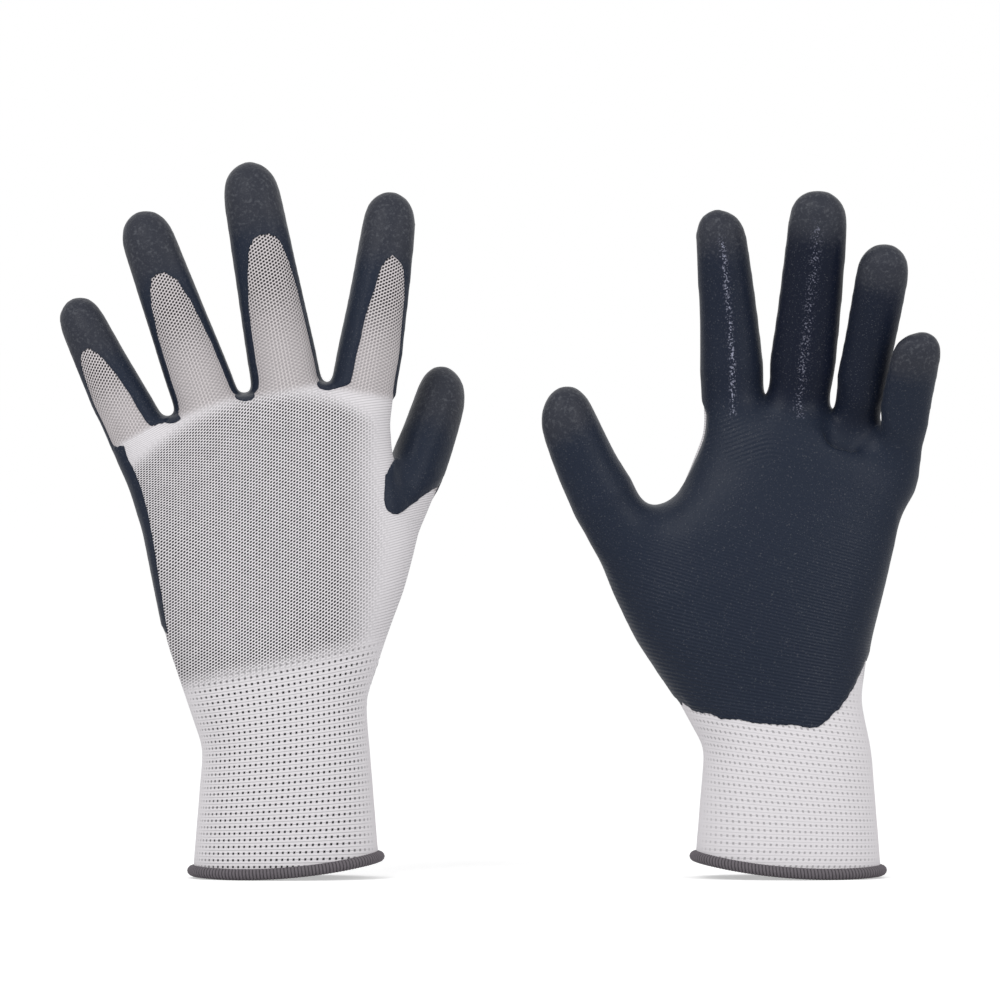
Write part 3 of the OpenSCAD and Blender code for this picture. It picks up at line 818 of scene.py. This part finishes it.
class Finish:
    """A material or world and the nodes of its shader."""

    def __init__(self, owner):
        self.owner = owner
        owner.use_nodes = True
        self.tree = owner.node_tree
        self.tree.nodes.clear()

    def node(self, kind, settings=None, inputs=None, output=0):
        made = self.tree.nodes.new(kind)
        for key, value in (settings or {}).items():
            setattr(made, key, value)
        for key, value in (inputs or {}).items():
            self.feed(made.inputs[key], value)
        return Field(self, made.outputs[output]) if made.outputs else None

    def feed(self, socket, value):
        if isinstance(value, Field):
            self.tree.links.new(value.socket, socket)
        else:
            socket.default_value = value

    def maths(self, operation, *values):
        return self.node("ShaderNodeMath", {"operation": operation}, dict(enumerate(values)))

    def wave(self, turns):
        return self.maths("COSINE", turns * (2 * math.pi))

    def rise(self, value, low, high):
        """0 below low, 1 above high, smooth between."""
        return self.node("ShaderNodeMapRange", {"interpolation_type": "SMOOTHSTEP"},
                         {"Value": value, "From Min": low, "From Max": high})

    def blend(self, share, first, second):
        """A colour between two colours."""
        made = self.tree.nodes.new("ShaderNodeMix")
        made.data_type = "RGBA"
        for number, value in ((0, share), (6, first), (7, second)):
            if not isinstance(value, (Field, int, float)):
                value = (*value, 1.0)
            self.feed(made.inputs[number], value)
        return Field(self, made.outputs[2])

    def noise(self, scale, detail):
        where = self.node("ShaderNodeTexCoord", output=3)
        return self.node("ShaderNodeTexNoise", {}, {"Vector": where, "Scale": scale, "Detail": detail})

    def bump(self, strength, distance, height):
        return self.node("ShaderNodeBump", {}, {"Strength": strength, "Distance": distance, "Height": height})

    def value_of(self, name):
        return self.node("ShaderNodeAttribute", {"attribute_name": name}, output=2)

    def map_of(self, name):
        found = self.node("ShaderNodeUVMap", {"uv_map": name})
        split = self.node("ShaderNodeSeparateXYZ", {}, {"Vector": found})
        return split, Field(self, split.socket.node.outputs[1])

    def surface(self, **inputs):
        shader = self.node("ShaderNodeBsdfPrincipled", {}, {key.replace("_", " "): value
                                                            for key, value in inputs.items()})
        self.node("ShaderNodeOutputMaterial", {}, {"Surface": shader})
        return self.owner


def knit_finish(colours):
    finish = Finish(bpy.data.materials.new("knit"))
    wale, course = finish.map_of("hand_knit")
    digit_wale, digit_course = finish.map_of("digit_knit")
    rib_wale, rib_course = finish.map_of("rib_knit")
    share = finish.value_of("digit_share")
    openness = finish.value_of("open")
    rib = finish.value_of("rib")

    def loops(across, along):
        return (0.45 * finish.wave(along - across) + 0.28 * finish.wave(along + across)
                + 0.27 * finish.wave(across * 2))

    hand = loops(wale, course)
    digit = loops(digit_wale, digit_course)
    jersey = hand + share * (digit - hand)
    uneven = 0.2 * (finish.noise(scale=350.0, detail=2.0) - 0.5)
    holes = finish.rise(jersey + uneven, -0.2, 0.15) * openness * (1 - rib)
    closed = (1 - openness) * (1 - rib)
    streaks = finish.rise(finish.wave(digit_wale * 1.8), -0.2, 0.8) * share
    lines = finish.rise(finish.wave(course * 1.25), 0.0, 0.9) * (1 - share)
    column = finish.wave(rib_wale)
    row = finish.wave(rib_course * 0.5)
    dash = finish.rise(column, 0.1, 0.7) * finish.rise(row, 0.2, 0.8)
    thin = finish.rise(finish.wave(rib_course), 0.5, 0.95) * 0.35
    ribs = finish.maths("MAXIMUM", dash, thin) * finish.value_of("dash")
    dark = finish.maths("MAXIMUM", holes * 0.98, (streaks * 0.45 + lines * 0.3) * closed)
    dark = finish.maths("MAXIMUM", dark, ribs)
    # Painted shade: the digits' knit blends to a darker colour
    yarn = finish.blend(share, colours.knit, colours.knit_digit)
    colour = finish.blend(dark, yarn, colours.knit_hole)
    normal = finish.bump(strength=0.35, distance=0.0005, height=1 - dark)
    return finish.surface(Base_Color=colour, Roughness=0.9, Specular_IOR_Level=0.2, Normal=normal)


def coat_finish(colours):
    finish = Finish(bpy.data.materials.new("coating"))
    _, course = finish.map_of("hand_knit")
    tip = finish.value_of("tip")
    cloud = finish.noise(scale=60.0, detail=4.0)
    grey = finish.rise(tip + 0.5 * (cloud - 0.5), 0.2, 0.9)
    speck = finish.noise(scale=1400.0, detail=2.0)
    # Painted highlight: fine bright specks painted as sparkle; the frost, a lighter mottling at the tips,
    # uses the same colour
    painted_glitter = finish.rise(finish.noise(scale=1900.0, detail=1.0), 0.62, 0.74) * 0.5
    frost = finish.rise(finish.noise(scale=800.0, detail=3.0), 0.5, 0.75) * tip * 0.7
    # Painted highlight: glints painted into the coating's colour along a line down some fingers
    line = finish.value_of("glint")
    glint = finish.rise(finish.noise(scale=1500.0, detail=2.0) + 0.1 * line, 0.58, 0.7) * line
    # Painted shade: some fingers blend to a darker coating colour
    colour = finish.blend(finish.value_of("wet"), colours.coat, colours.coat_wet)
    colour = finish.blend(grey, colour, colours.coat_tip)
    colour = finish.blend(finish.maths("MAXIMUM", painted_glitter, frost), colour, colours.coat_sparkle)
    colour = finish.blend(glint, colour, colours.coat_glint)
    ridges = finish.wave(course) * finish.value_of("palm_ridge")
    arcs = finish.wave(finish.value_of("arc")) * finish.value_of("arc_share")
    wrinkles = finish.noise(scale=420.0, detail=3.0) * tip
    height = ridges * 1.1 + arcs * 0.35 + speck * 1.2 + wrinkles * 2.5 + cloud * 3
    normal = finish.bump(strength=0.3, distance=0.0004, height=height)
    rough = 0.32 + 0.15 * finish.noise(scale=300.0, detail=3.0)
    return finish.surface(Base_Color=colour, Roughness=rough, Specular_IOR_Level=0.14, Sheen_Weight=0.05,
                          Normal=normal)


def hem_finish(colours):
    finish = Finish(bpy.data.materials.new("hem_yarn"))
    cloud = finish.noise(scale=900.0, detail=3.0)
    groove = finish.value_of("groove")
    colour = finish.blend(finish.rise(groove + 0.4 * (cloud - 0.5), 0.2, 1.0), colours.hem,
                          colours.hem_groove)
    normal = finish.bump(strength=0.3, distance=0.0003, height=cloud)
    return finish.surface(Base_Color=colour, Roughness=0.85, Specular_IOR_Level=0.25, Normal=normal)


def elastic_finish(colours):
    finish = Finish(bpy.data.materials.new("elastic"))
    cloud = finish.noise(scale=1200.0, detail=2.0)
    colour = finish.blend(cloud, colours.elastic, colours.knit)
    return finish.surface(Base_Color=colour, Roughness=0.6, Specular_IOR_Level=0.3)


# Settings that a user would change

def colour_of(name, description, default):
    return FloatVectorProperty(name=name, description=description, default=default, subtype="COLOR",
                               min=0, max=1)


class GloveColours(bpy.types.PropertyGroup):
    """Colours of the yarns and of the coating."""

    knit: colour_of("Knit", "Yarn of the liner", (0.76, 0.735, 0.76))
    # Painted shade: the knit on the backs of the digits is painted darker
    knit_digit: colour_of("Finger knit", "Stretched yarn on the backs of the fingers", (0.62, 0.58, 0.59))
    knit_hole: colour_of("Knit holes", "Shade seen between the loops", (0.015, 0.014, 0.016))
    coat: colour_of("Coating", "Dipped coating", (0.012, 0.018, 0.034))
    coat_tip: colour_of("Coating at the tips", "Duller coating at the fingertips", (0.029, 0.032, 0.044))
    # Painted highlight specks over the coating, and the lighter frost mottling at the fingertips
    coat_sparkle: colour_of("Coating specks", "Fine specks in the coating", (0.09, 0.095, 0.11))
    # Painted highlight: a light colour painted as glints along the glossy fingers
    coat_glint: colour_of("Coating glints", "Glints along the glossy fingers", (0.3, 0.31, 0.4))
    # Painted shade: a darker coating colour painted on some fingers
    coat_wet: colour_of("Glossy coating", "Deeper coating on the glossy fingers", (0.004, 0.007, 0.019))
    hem: colour_of("Hem", "Overlock yarn", (0.15, 0.135, 0.15))
    hem_groove: colour_of("Hem grooves", "Shade between the stitches", (0.05, 0.045, 0.05))
    elastic: colour_of("Elastic", "Elastic thread", (0.6, 0.58, 0.56))


class GloveSizes(bpy.types.PropertyGroup):
    """Sizes of the details that stand on the knit."""

    coat_edge: FloatProperty(name="Coating edge", description="Thickness of the coating at its edge",
                             default=0.00025, unit="LENGTH")
    coat_wall: FloatProperty(name="Coating", description="Thickness of the coating away from its edge",
                             default=0.00085, unit="LENGTH")
    hem_stitches: IntProperty(name="Hem stitches", description="Stitches round a hem", default=150, min=60,
                              max=300)
    hem_height: FloatProperty(name="Hem height", description="Height of the overlocked hem", default=0.0042,
                              unit="LENGTH")
    elastic_turns: IntProperty(name="Elastic turns", description="Turns of the elastic thread in a cuff",
                               default=5, min=1, max=20)


# Operators, one for each group of like pieces

def knit_values(layout):
    """What the knit's shader reads at each point."""
    rib = smoothstep(RIB_TOP + RIB_FADE, RIB_TOP - RIB_FADE, layout.height - RIB_TILT * layout.side)
    dome = DOME_TOP - DOME_CURVE * layout.side ** 2 - layout.height
    facing = -np.sin(layout.turn) - OPEN_LEAN * np.cos(layout.turn)
    hand_open = smoothstep(0.05, 0.7, facing) * smoothstep(0, 9, dome)
    top = np.maximum(np.array(WINDOW_TOP, float), 1)[layout.near]
    digit_open = mix(0.45, 1, smoothstep(0.2, 0.75, layout.near_along / top))
    shade = DASH_SHADE[layout.hand.name]
    return {
        "digit_share": layout.share,
        "open": mix(hand_open, digit_open, layout.share),
        "rib": rib,
        "dash": rib * shade * smoothstep(0.1, 0.8, np.abs(np.sin(layout.turn))),
    }


class GLOVES_OT_liners(bpy.types.Operator):
    """Knits the cuffs, the hands and the digits."""

    bl_idname = "gloves.liners"
    bl_label = "Knitted liners"

    def execute(self, context):
        material = knit_finish(context.scene.glove_colours)
        for glove in GLOVES:
            layout = layout_of(glove)
            normals = layout.skin.normals()
            values = knit_values(layout)
            parts, names = part_names(layout)
            for number, part in enumerate(names):
                node = f"{glove}_{part}" if part == "cuff" else f"{glove}_{part}_liner"
                made = make_part(f"{glove}_{part}_knit", material, layout.skin, parts == number, normals,
                                 layout.maps, values)
                join_frame(made, layout, part)
                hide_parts(node)
        return {"FINISHED"}


# The coating is dull at the fingertips: how far from the end the dullness starts and is full
DULL_RUN = {"glove_1": (40.0, 10.0), "glove_2": (26.0, 4.0)}
# Fine arcs in the coating below the index and middle fingers: their crown, their slope and the space between
ARC_CROWN, ARC_SLOPE, ARC_SPACE = 6.0, 0.4, 1.6
# Middle of the area with arcs, from their crown and from the table, and its half width and half height
ARC_ASIDE, ARC_LEVEL, ARC_WIDE, ARC_HIGH = 6, 158, 17, 9
# Painted highlight: fingers with a line of glints painted down the palm side, the half width of the line and
# its strength
PAINTED_HIGHLIGHTS = {"glove_2": {"index": (0.9, 1.0), "middle": (1.6, 0.55)}}
# Run over which the coating gets its full thickness, and how far the skirt round its rim sinks into the knit
EDGE_RUN, SKIRT_DEPTH = 2.5, 0.2
# Painted shade: how much darker the coating is painted on some fingers
PAINTED_SHADE_FINGERS = {"glove_2": {"index": 0.4, "middle": 1.0, "ring": 0.7}}


def palm_arcs(layout):
    """Number of the arc at each point, and how strongly the arcs show there."""
    away = layout.side - ARC_CROWN
    arc = (layout.height + ARC_SLOPE * np.hypot(away, 4)) / ARC_SPACE
    area = ((away - ARC_ASIDE) / ARC_WIDE) ** 4 + ((layout.height - ARC_LEVEL) / ARC_HIGH) ** 4
    return arc, np.exp(-area) * smoothstep(-2, 4, layout.deep)


def painted_highlight_lines(layout):
    """How strongly the painted highlight, a line of glints, shows at each point."""
    glint = np.zeros(len(layout.side))
    for name, (half, strength) in PAINTED_HIGHLIGHTS.get(layout.hand.name, {}).items():
        number = DIGITS.index(name)
        digit = layout.hand.digits[number]
        around = math.pi - np.abs(layout.angle[number])
        across = around * digit.section(layout.along[number])[2]
        line = strength * np.exp(-(across / half) ** 2) * smoothstep(-6, 0, layout.along[number])
        line *= smoothstep(digit.tip_height - 6, digit.tip_height - 14, layout.along[number])
        glint = np.where(layout.digit == number, line, glint)
    return glint


def painted_shade_share(layout):
    """How strongly the painted shade darkens the coating at each point."""
    wet = np.zeros(len(layout.side))
    for name, share in PAINTED_SHADE_FINGERS.get(layout.hand.name, {}).items():
        number = DIGITS.index(name)
        wet = np.where(layout.digit == number, share * smoothstep(-4, 8, layout.along[number]), wet)
    return wet


def coat_skin(layout, edge, wall):
    """The coating with a skirt round its rim, its triangles' parts, its knit maps, and its rim's points."""
    skin = layout.skin
    dipped = layout.depth[skin.triangles].mean(1) > 0
    thick = mix(edge, wall, smoothstep(0, EDGE_RUN, layout.depth))
    lift = skin.normals()
    top = Skin(skin.points + lift * thick[:, None], skin.triangles[dipped])
    count = len(top.points)
    sides = top.sides()
    key = np.sort(sides, axis=1) @ [count, 1]
    _, first, uses = np.unique(key, return_index=True, return_counts=True)
    rim = first[uses == 1]
    a, b = sides[rim].T
    rim_points = np.unique(np.r_[a, b])
    low = count + np.searchsorted(rim_points, np.c_[a, b])
    skirt = np.vstack([np.c_[b, a, low[:, 0]], np.c_[b, low[:, 0], low[:, 1]]])
    sunk = skin.points[rim_points] - SKIRT_DEPTH * lift[rim_points]
    coat = Skin(np.vstack([top.points, sunk]), np.vstack([top.triangles, skirt]))
    owner, start = rim // 3, rim % 3
    parts = np.maximum(part_names(layout)[0][dipped], 1)
    parts = np.r_[parts, parts[owner], parts[owner]]
    maps = {}
    for name, table in layout.maps.items():
        table = table[dipped]
        here = table[owner, start]
        there = table[owner, (start + 1) % 3]
        skirts = (np.stack([there, here, below], 1) for below in (here, there))
        maps[name] = np.vstack([table, *skirts])
    return coat, parts, maps, rim_points


def coat_values(layout, rim_points):
    """What the coating's shader reads at each point of its surface, and then of its skirt."""
    tip = np.zeros(len(layout.side))
    for i, digit in enumerate(layout.hand.digits):
        mine = layout.digit == i
        dull_from, dull_to = (digit.tip_height - run for run in DULL_RUN[layout.hand.name])
        tip[mine] = smoothstep(dull_from, dull_to, layout.along[i][mine])
    arc, arc_share = palm_arcs(layout)
    values = {
        "tip": tip,
        "palm_ridge": smoothstep(140, 70, layout.height),
        "arc": arc,
        "arc_share": arc_share,
        "glint": painted_highlight_lines(layout),
        "wet": painted_shade_share(layout),
    }
    return {name: np.r_[column, column[rim_points]] for name, column in values.items()}


class GLOVES_OT_coatings(bpy.types.Operator):
    """Dips the palms and the fingers."""

    bl_idname = "gloves.coatings"
    bl_label = "Dipped coatings"

    def execute(self, context):
        sizes = context.scene.glove_sizes
        material = coat_finish(context.scene.glove_colours)
        for glove in GLOVES:
            layout = layout_of(glove)
            coat, parts, maps, rim_points = coat_skin(layout, sizes.coat_edge * MM, sizes.coat_wall * MM)
            normals = coat.normals()
            values = coat_values(layout, rim_points)
            for number, part in enumerate(part_names(layout)[1]):
                if part == "cuff":
                    continue
                made = make_part(f"{glove}_{part}_coat", material, coat, parts == number, normals,
                                 maps, values)
                join_frame(made, layout, part)
                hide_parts(f"{glove}_{part}_coating")
        return {"FINISHED"}


def cuff_outline(layout, height, count):
    """Points round the skin at a height, evenly spaced, with their outward directions."""
    skin = layout.skin
    level, _ = skin.cut(skin.points[:, 2] - height)
    ring = level.points[len(skin.points):]
    middle = ring.mean(0)
    angle = np.arctan2(ring[:, 1] - middle[1], ring[:, 0] - middle[0])
    order = np.argsort(angle)
    ring = ring[order]
    closed = np.vstack([ring, ring[:1]])
    run = np.concatenate([[0], np.cumsum(np.linalg.norm(np.diff(closed, axis=0), axis=1))])
    at = np.arange(count) / count * run[-1]
    points = np.stack([np.interp(at, run, closed[:, axis]) for axis in range(3)], 1)
    for _ in range(6):
        points = (np.roll(points, 1, 0) + points * 2 + np.roll(points, -1, 0)) / 4
    along = np.roll(points, -1, 0) - np.roll(points, 1, 0)
    outward = np.cross(along, [0, 0, 1])
    return points, outward / np.linalg.norm(outward, axis=1)[:, None]


def ring_triangles(rings, sides, closed=True):
    """Triangles between rings of points that are stacked one after the other."""
    k = np.arange(rings if closed else rings - 1)
    a, j = np.meshgrid(k, np.arange(sides), indexing="ij")
    here, after = a * sides, (a + 1) % rings * sides
    step = (j + 1) % sides
    p, q, r, s = (x.ravel() for x in (here + j, here + step, after + step, after + j))
    return np.vstack([np.c_[p, q, r], np.c_[p, r, s]])


# The hem's roll: its middle and its half width, outwards from the knit, and the slant of its stitches
HEM_SEAT, HEM_ROLL = -0.1, 2.5
STITCH_SLANT = 1.3
# How far the grooves between the stitches draw the roll in, and down
GROOVE_IN, GROOVE_DOWN = 0.16, 0.05
# How far inside the skin the elastic thread lies
THREAD_SEAT = 0.9


class GLOVES_OT_hems(bpy.types.Operator):
    """Overlocks the lower edge of each cuff."""

    bl_idname = "gloves.hems"
    bl_label = "Overlocked hems"

    def execute(self, context):
        sizes = context.scene.glove_sizes
        material = hem_finish(context.scene.glove_colours)
        per_stitch, around = 6, 14
        count = sizes.hem_stitches * per_stitch
        top = sizes.hem_height * MM
        for glove in GLOVES:
            layout = layout_of(glove)
            line, outward = cuff_outline(layout, HEM_LINE + layout.hand.hem_lift(layout.skin.points), count)
            turn = np.arange(around) / around * 2 * math.pi
            phase = np.arange(count)[:, None] / per_stitch * 2 * math.pi + STITCH_SLANT * np.sin(turn)
            groove = (0.5 - 0.5 * np.cos(phase)) ** 2
            out = HEM_SEAT + HEM_ROLL * np.cos(turn) * (1 - GROOVE_IN * groove)
            high = top / 2 * (1 + np.sin(turn) * (1 - GROOVE_DOWN * groove)) - HEM_LINE
            points = line[:, None] + outward[:, None] * out[:, :, None]
            points[:, :, 2] += high
            made = make_piece(f"{glove}_hem_stitching", material, points.reshape(-1, 3),
                              ring_triangles(count, around), values={"groove": groove.ravel()})
            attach(made, f"{glove}_cuff")
            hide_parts(f"{glove}_hem")
        return {"FINISHED"}


class GLOVES_OT_elastic(bpy.types.Operator):
    """Lays the elastic thread inside each cuff."""

    bl_idname = "gloves.elastic"
    bl_label = "Elastic threads"

    def execute(self, context):
        sizes = context.scene.glove_sizes
        material = elastic_finish(context.scene.glove_colours)
        per_turn, around, radius = 160, 8, 0.4
        for glove in GLOVES:
            layout = layout_of(glove)
            low, high = (corner[2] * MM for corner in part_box(f"{glove}_elastic_thread"))
            count = per_turn * sizes.elastic_turns
            height = np.linspace(low + radius, high - radius, count)
            outlines = [cuff_outline(layout, level, per_turn) for level in (low, high)]
            share = ((height - height[0]) / (height[-1] - height[0]))[:, None]
            at = np.arange(count) % per_turn
            line = mix(outlines[0][0][at], outlines[1][0][at], share)
            outward = mix(outlines[0][1][at], outlines[1][1][at], share)
            line[:, 2] = height
            line -= outward * (THREAD_SEAT + radius)
            turn = np.arange(around) / around * 2 * math.pi
            upward = np.array([0, 0, 1])
            rows = [line + outward * radius * math.cos(a) + upward * radius * math.sin(a) for a in turn]
            points = np.stack(rows, 1).reshape(-1, 3)
            made = make_piece(f"{glove}_elastic_turns", material, points,
                              ring_triangles(count, around, False))
            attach(made, f"{glove}_cuff")
            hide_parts(f"{glove}_elastic_thread")
        return {"FINISHED"}


# What the lamps and the camera look at, in metres, and the camera's distance, rise, sensor and width of view
LAMP_TARGET, CAMERA_TARGET = (0, 0, 0.13), (-0.001, 0, 0.136)
CAMERA_AWAY, CAMERA_RISE = 5.0, math.radians(1)
SENSOR, VIEW_WIDTH = 36, 0.36
# Strength of the light from all round, grey and glow of the floor, and its radius
AROUND, FLOOR_GREY, FLOOR_GLOW, FLOOR_RADIUS = 0.6, 0.9, 0.46, 30.0
WHITE = (1, 1, 1, 1)


class GLOVES_OT_stage(bpy.types.Operator):
    """Sets up the floor, the light and the camera."""

    bl_idname = "gloves.stage"
    bl_label = "Studio"

    def execute(self, context):
        scene = context.scene
        scene.view_settings.view_transform = "Standard"
        self.make_world(scene)
        self.make_floor()
        self.make_lamp("key", place=(-0.7, -1.1, 1.1), size=0.9, power=9)
        self.make_lamp("fill", place=(0.9, -1.0, 0.6), size=0.7, power=4)
        self.make_camera(scene)
        return {"FINISHED"}

    @staticmethod
    def make_world(scene):
        world = bpy.data.worlds.new("studio")
        scene.world = world
        finish = Finish(world)
        seen = finish.node("ShaderNodeLightPath", output="Is Camera Ray")
        for ray in ("Is Transmission Ray", "Is Glossy Ray"):
            seen = finish.maths("MAXIMUM", seen, finish.node("ShaderNodeLightPath", output=ray))
        light = finish.node("ShaderNodeBackground", {}, {"Color": WHITE, "Strength": AROUND})
        white = finish.node("ShaderNodeBackground", {}, {"Color": WHITE, "Strength": 1.0})
        chosen = finish.node("ShaderNodeMixShader", {}, {0: seen, 1: light, 2: white})
        finish.node("ShaderNodeOutputWorld", {}, {"Surface": chosen})

    @staticmethod
    def make_floor():
        mesh = bpy.data.meshes.new("floor")
        form = bmesh.new()
        bmesh.ops.create_circle(form, cap_ends=True, segments=64, radius=FLOOR_RADIUS)
        form.to_mesh(mesh)
        form.free()
        floor = add_object("floor", mesh)
        finish = Finish(bpy.data.materials.new("floor"))
        camera = finish.node("ShaderNodeLightPath", output="Is Camera Ray")
        paint = finish.node("ShaderNodeBsdfDiffuse", {}, {"Color": (FLOOR_GREY, FLOOR_GREY, FLOOR_GREY, 1)})
        glow = finish.node("ShaderNodeEmission", {}, {"Color": WHITE, "Strength": camera * FLOOR_GLOW})
        both = finish.node("ShaderNodeAddShader", {}, {0: paint, 1: glow})
        finish.node("ShaderNodeOutputMaterial", {}, {"Surface": both})
        mesh.materials.append(finish.owner)

    @staticmethod
    def make_lamp(name, place, size, power):
        light = bpy.data.lights.new(name, "AREA")
        light.size = size
        light.energy = power
        lamp = add_object(name, light)
        lamp.location = place
        lamp.rotation_euler = (Vector(LAMP_TARGET) - Vector(place)).to_track_quat("-Z", "Y").to_euler()

    @staticmethod
    def make_camera(scene):
        target = Vector(CAMERA_TARGET)
        data = bpy.data.cameras.new("camera")
        data.sensor_width = SENSOR
        data.lens = SENSOR * CAMERA_AWAY / VIEW_WIDTH
        camera = add_object("camera", data)
        camera.location = target + Vector((0, -math.cos(CAMERA_RISE), math.sin(CAMERA_RISE))) * CAMERA_AWAY
        camera.rotation_euler = (target - camera.location).to_track_quat("-Z", "Y").to_euler()
        scene.camera = camera


class GLOVES_PT_workbench(bpy.types.Panel):
    """Lists the steps that dress the gloves."""

    bl_idname = "GLOVES_PT_workbench"
    bl_label = "Work gloves"
    bl_space_type = "VIEW_3D"
    bl_region_type = "UI"
    bl_category = "Gloves"

    def draw(self, context):
        for step in STEPS:
            self.layout.operator(step.bl_idname)
        for settings in (context.scene.glove_colours, context.scene.glove_sizes):
            for name in settings.__annotations__:
                self.layout.prop(settings, name)


STEPS = (GLOVES_OT_liners, GLOVES_OT_coatings, GLOVES_OT_hems, GLOVES_OT_elastic, GLOVES_OT_stage)
CLASSES = (GloveColours, GloveSizes, *STEPS, GLOVES_PT_workbench)


def register():
    for kind in CLASSES:
        bpy.utils.register_class(kind)
    bpy.types.Scene.glove_colours = PointerProperty(type=GloveColours)
    bpy.types.Scene.glove_sizes = PointerProperty(type=GloveSizes)


def unregister():
    del bpy.types.Scene.glove_sizes
    del bpy.types.Scene.glove_colours
    for kind in reversed(CLASSES):
        bpy.utils.unregister_class(kind)


def main():
    register()
    bpy.ops.gloves.liners()
    bpy.ops.gloves.coatings()
    bpy.ops.gloves.hems()
    bpy.ops.gloves.elastic()
    bpy.ops.gloves.stage()


if __name__ == "__main__":
    main()
